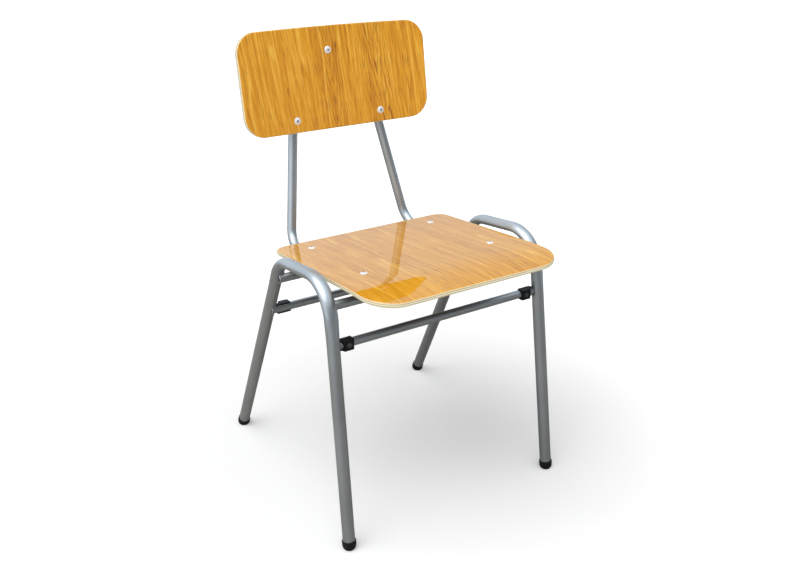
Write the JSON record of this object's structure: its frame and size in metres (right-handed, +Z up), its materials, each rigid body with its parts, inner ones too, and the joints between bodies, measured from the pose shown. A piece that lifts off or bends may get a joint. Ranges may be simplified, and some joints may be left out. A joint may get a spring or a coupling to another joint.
{
  "type": "school chair",
  "caption": "Stacking school chair with bent tube side frames, a wood-faced plywood seat with a curved front edge and a hollow backrest on a hairpin tube.",
  "frame": {"origin": "on the floor, under the middle of the chair's box", "axes": "+Z up, the chair faces -Y, +X is the sitter's left"},
  "size_m": [0.4758, 0.53, 0.8253],
  "materials": {
    "frame_lacquer": "silver-grey satin lacquer",
    "wood_laminate": "beech-look facing under a glossy clear coat",
    "plywood": "sanded plywood edge, clear lacquer",
    "black_plastic": "moulded, fine satin",
    "rivet_metal": "bright"
  },
  "bodies": {
    "root": {"side_frame_left": "frame_lacquer", "side_frame_right": "frame_lacquer", "seat_rail_front": "frame_lacquer", "seat_rail_rear": "frame_lacquer", "crossbar_front": "frame_lacquer", "crossbar_rear": "frame_lacquer", "back_support": "frame_lacquer", "seat_laminate": "wood_laminate", "backrest_laminate": "wood_laminate", "seat_backing": "wood_laminate", "backrest_backing": "wood_laminate", "seat_core": "plywood", "backrest_core": "plywood", "foot_plug_front_left": "black_plastic", "foot_plug_front_right": "black_plastic", "foot_plug_rear_left": "black_plastic", "foot_plug_rear_right": "black_plastic", "stack_pad_front_left": "black_plastic", "stack_pad_front_right": "black_plastic", "stack_pad_rear_left": "black_plastic", "stack_pad_rear_right": "black_plastic", "seat_rivets": "rivet_metal", "backrest_rivets": "rivet_metal", "pad_rivets": "rivet_metal"}
  },
  "joints": []
}
